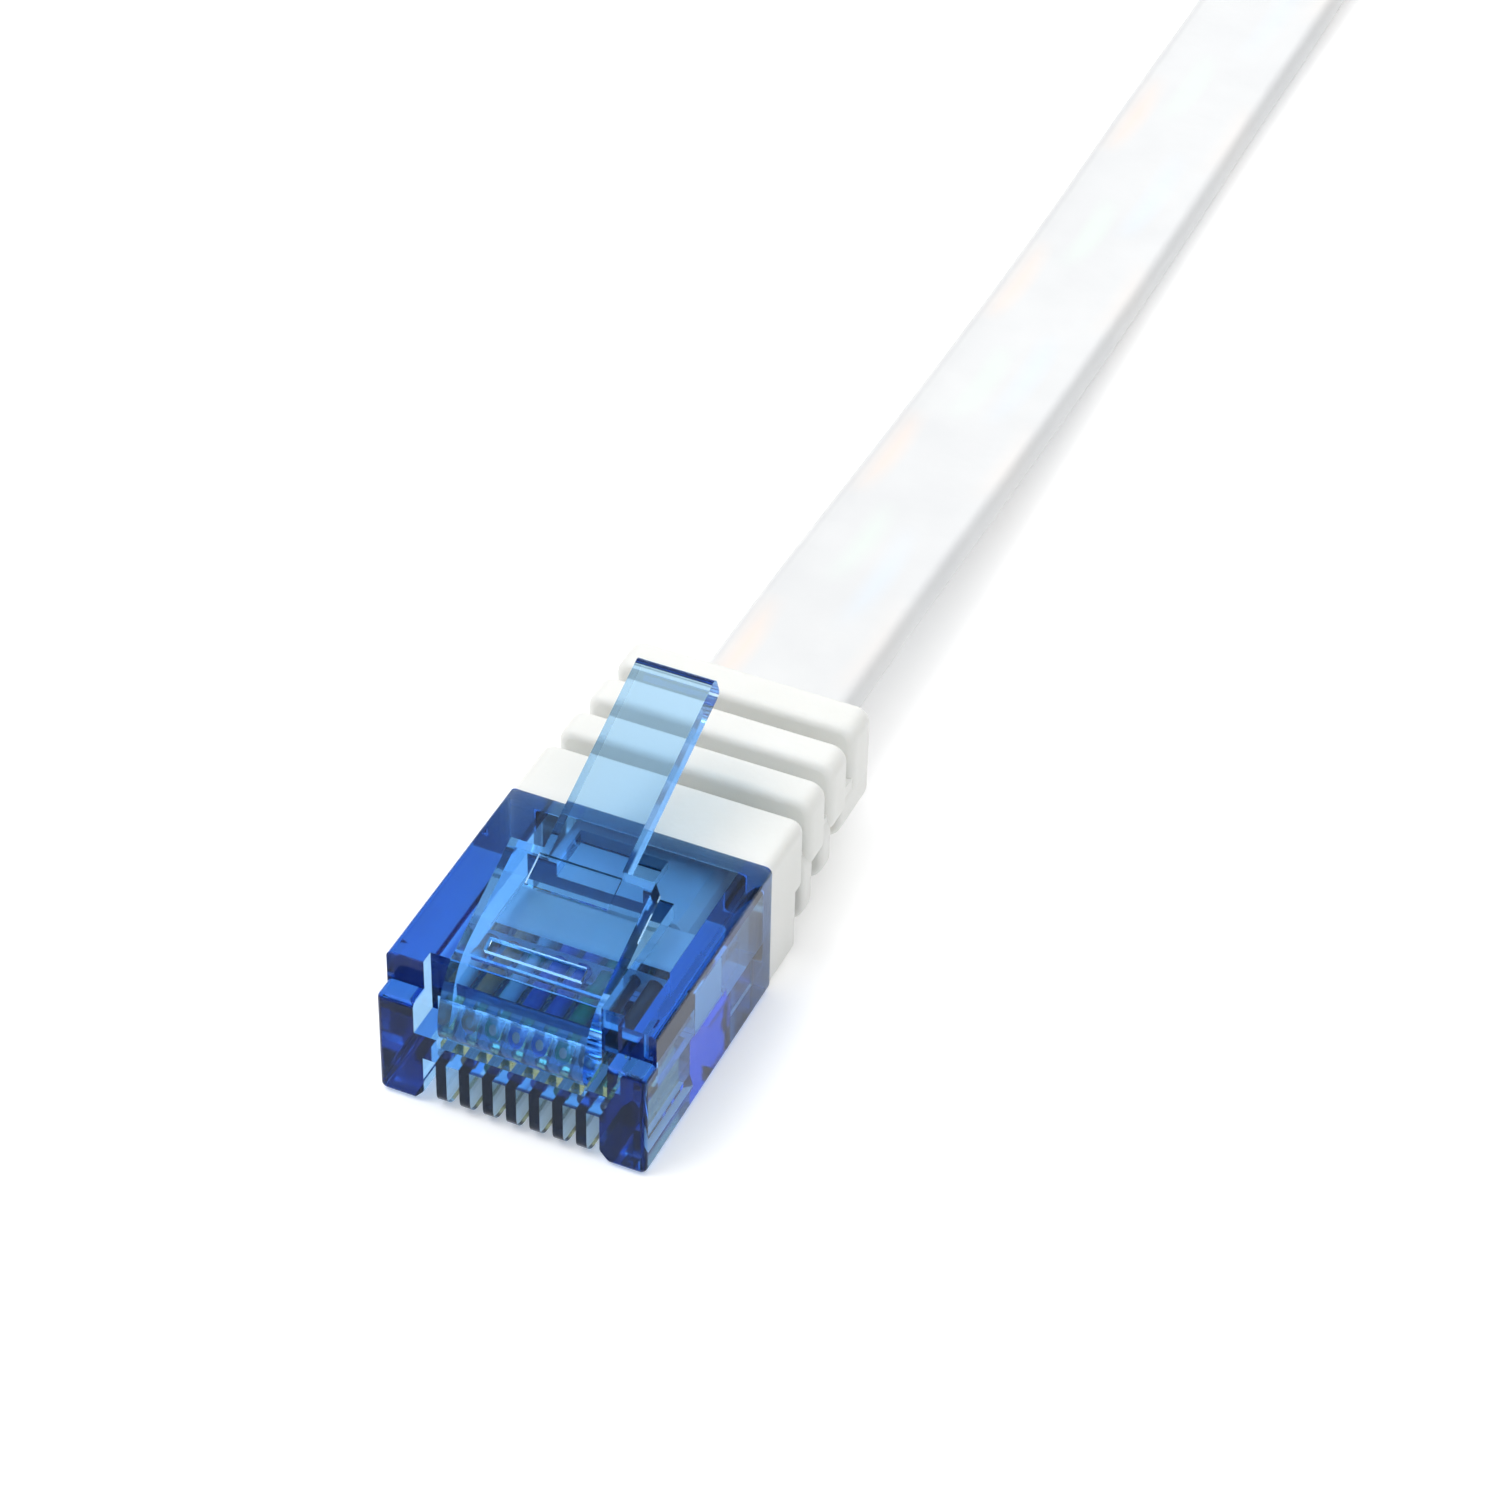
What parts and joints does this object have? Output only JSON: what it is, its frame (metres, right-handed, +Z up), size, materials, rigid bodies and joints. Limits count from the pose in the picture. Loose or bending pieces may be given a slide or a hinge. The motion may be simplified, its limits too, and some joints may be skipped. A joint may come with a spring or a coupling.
{
  "type": "ethernet patch cable",
  "caption": "Flat ethernet patch cable with clear blue modular plugs, white ribbed boots and its spare length wound in a tied hank.",
  "frame": {"origin": "under the middle of the near plug and its boot, on the surface the cable lies on", "axes": "+Y from the near plug's nose to its boot and on along the cable, +Z up with the latch on top, +X across the plug"},
  "size_m": [0.0489, 0.2258, 0.0123],
  "materials": {
    "plug_polycarbonate": "clear blue polycarbonate, polished mould",
    "clear_polycarbonate": "clear polycarbonate",
    "boot_rubber": "satin white thermoplastic elastomer",
    "cable_jacket": "satin white PVC",
    "contact_gold": "gold-plated phosphor bronze",
    "copper": "bare copper",
    "strap_fabric": "pale grey hook-and-loop strap",
    "insulation_white_orange": "extruded polyethylene insulation",
    "insulation_orange": "extruded polyethylene insulation",
    "insulation_white_green": "extruded polyethylene insulation",
    "insulation_blue": "extruded polyethylene insulation",
    "insulation_white_blue": "extruded polyethylene insulation",
    "insulation_green": "extruded polyethylene insulation",
    "insulation_white_brown": "extruded polyethylene insulation",
    "insulation_brown": "extruded polyethylene insulation"
  },
  "bodies": {
    "patch_cable": {"near_housing": "plug_polycarbonate", "near_boot": "boot_rubber", "near_load_bar": "clear_polycarbonate", "near_cord_clamp": "plug_polycarbonate", "near_copper_cores": "copper", "near_jacket_end": "cable_jacket", "near_contact_1": "contact_gold", "near_contact_2": "contact_gold", "near_contact_3": "contact_gold", "near_contact_4": "contact_gold", "near_contact_5": "contact_gold", "near_contact_6": "contact_gold", "near_contact_7": "contact_gold", "near_contact_8": "contact_gold", "near_wire_1_white_orange": "insulation_white_orange", "near_wire_2_orange": "insulation_orange", "near_wire_3_white_green": "insulation_white_green", "near_wire_4_blue": "insulation_blue", "near_wire_5_white_blue": "insulation_white_blue", "near_wire_6_green": "insulation_green", "near_wire_7_white_brown": "insulation_white_brown", "near_wire_8_brown": "insulation_brown", "far_housing": "plug_polycarbonate", "far_boot": "boot_rubber", "far_load_bar": "clear_polycarbonate", "far_cord_clamp": "plug_polycarbonate", "far_copper_cores": "copper", "far_jacket_end": "cable_jacket", "far_contact_1": "contact_gold", "far_contact_2": "contact_gold", "far_contact_3": "contact_gold", "far_contact_4": "contact_gold", "far_contact_5": "contact_gold", "far_contact_6": "contact_gold", "far_contact_7": "contact_gold", "far_contact_8": "contact_gold", "far_wire_1_white_orange": "insulation_white_orange", "far_wire_2_orange": "insulation_orange", "far_wire_3_white_green": "insulation_white_green", "far_wire_4_blue": "insulation_blue", "far_wire_5_white_blue": "insulation_white_blue", "far_wire_6_green": "insulation_green", "far_wire_7_white_brown": "insulation_white_brown", "far_wire_8_brown": "insulation_brown", "cable_lead": "cable_jacket", "cable_lead_roll": "cable_jacket", "cable_hank": "cable_jacket", "cable_tail_roll": "cable_jacket", "hank_tie": "strap_fabric"},
    "near_latch": {"near_latch": "plug_polycarbonate"},
    "far_latch": {"far_latch": "plug_polycarbonate"}
  },
  "joints": [
    {"name": "near_latch_press", "type": "hinge", "parent": "patch_cable", "child": "near_latch", "pos_m": [0, -0.01045, 0.0042], "axis": [1, 0, 0], "range_deg": [-13, 0], "stiffness_Nm_per_rad": 0.08},
    {"name": "far_latch_press", "type": "hinge", "parent": "patch_cable", "child": "far_latch", "pos_m": [-0.022, 0.19685, 0.0042], "axis": [-1, 0, 0], "range_deg": [-13, 0], "stiffness_Nm_per_rad": 0.08}
  ]
}
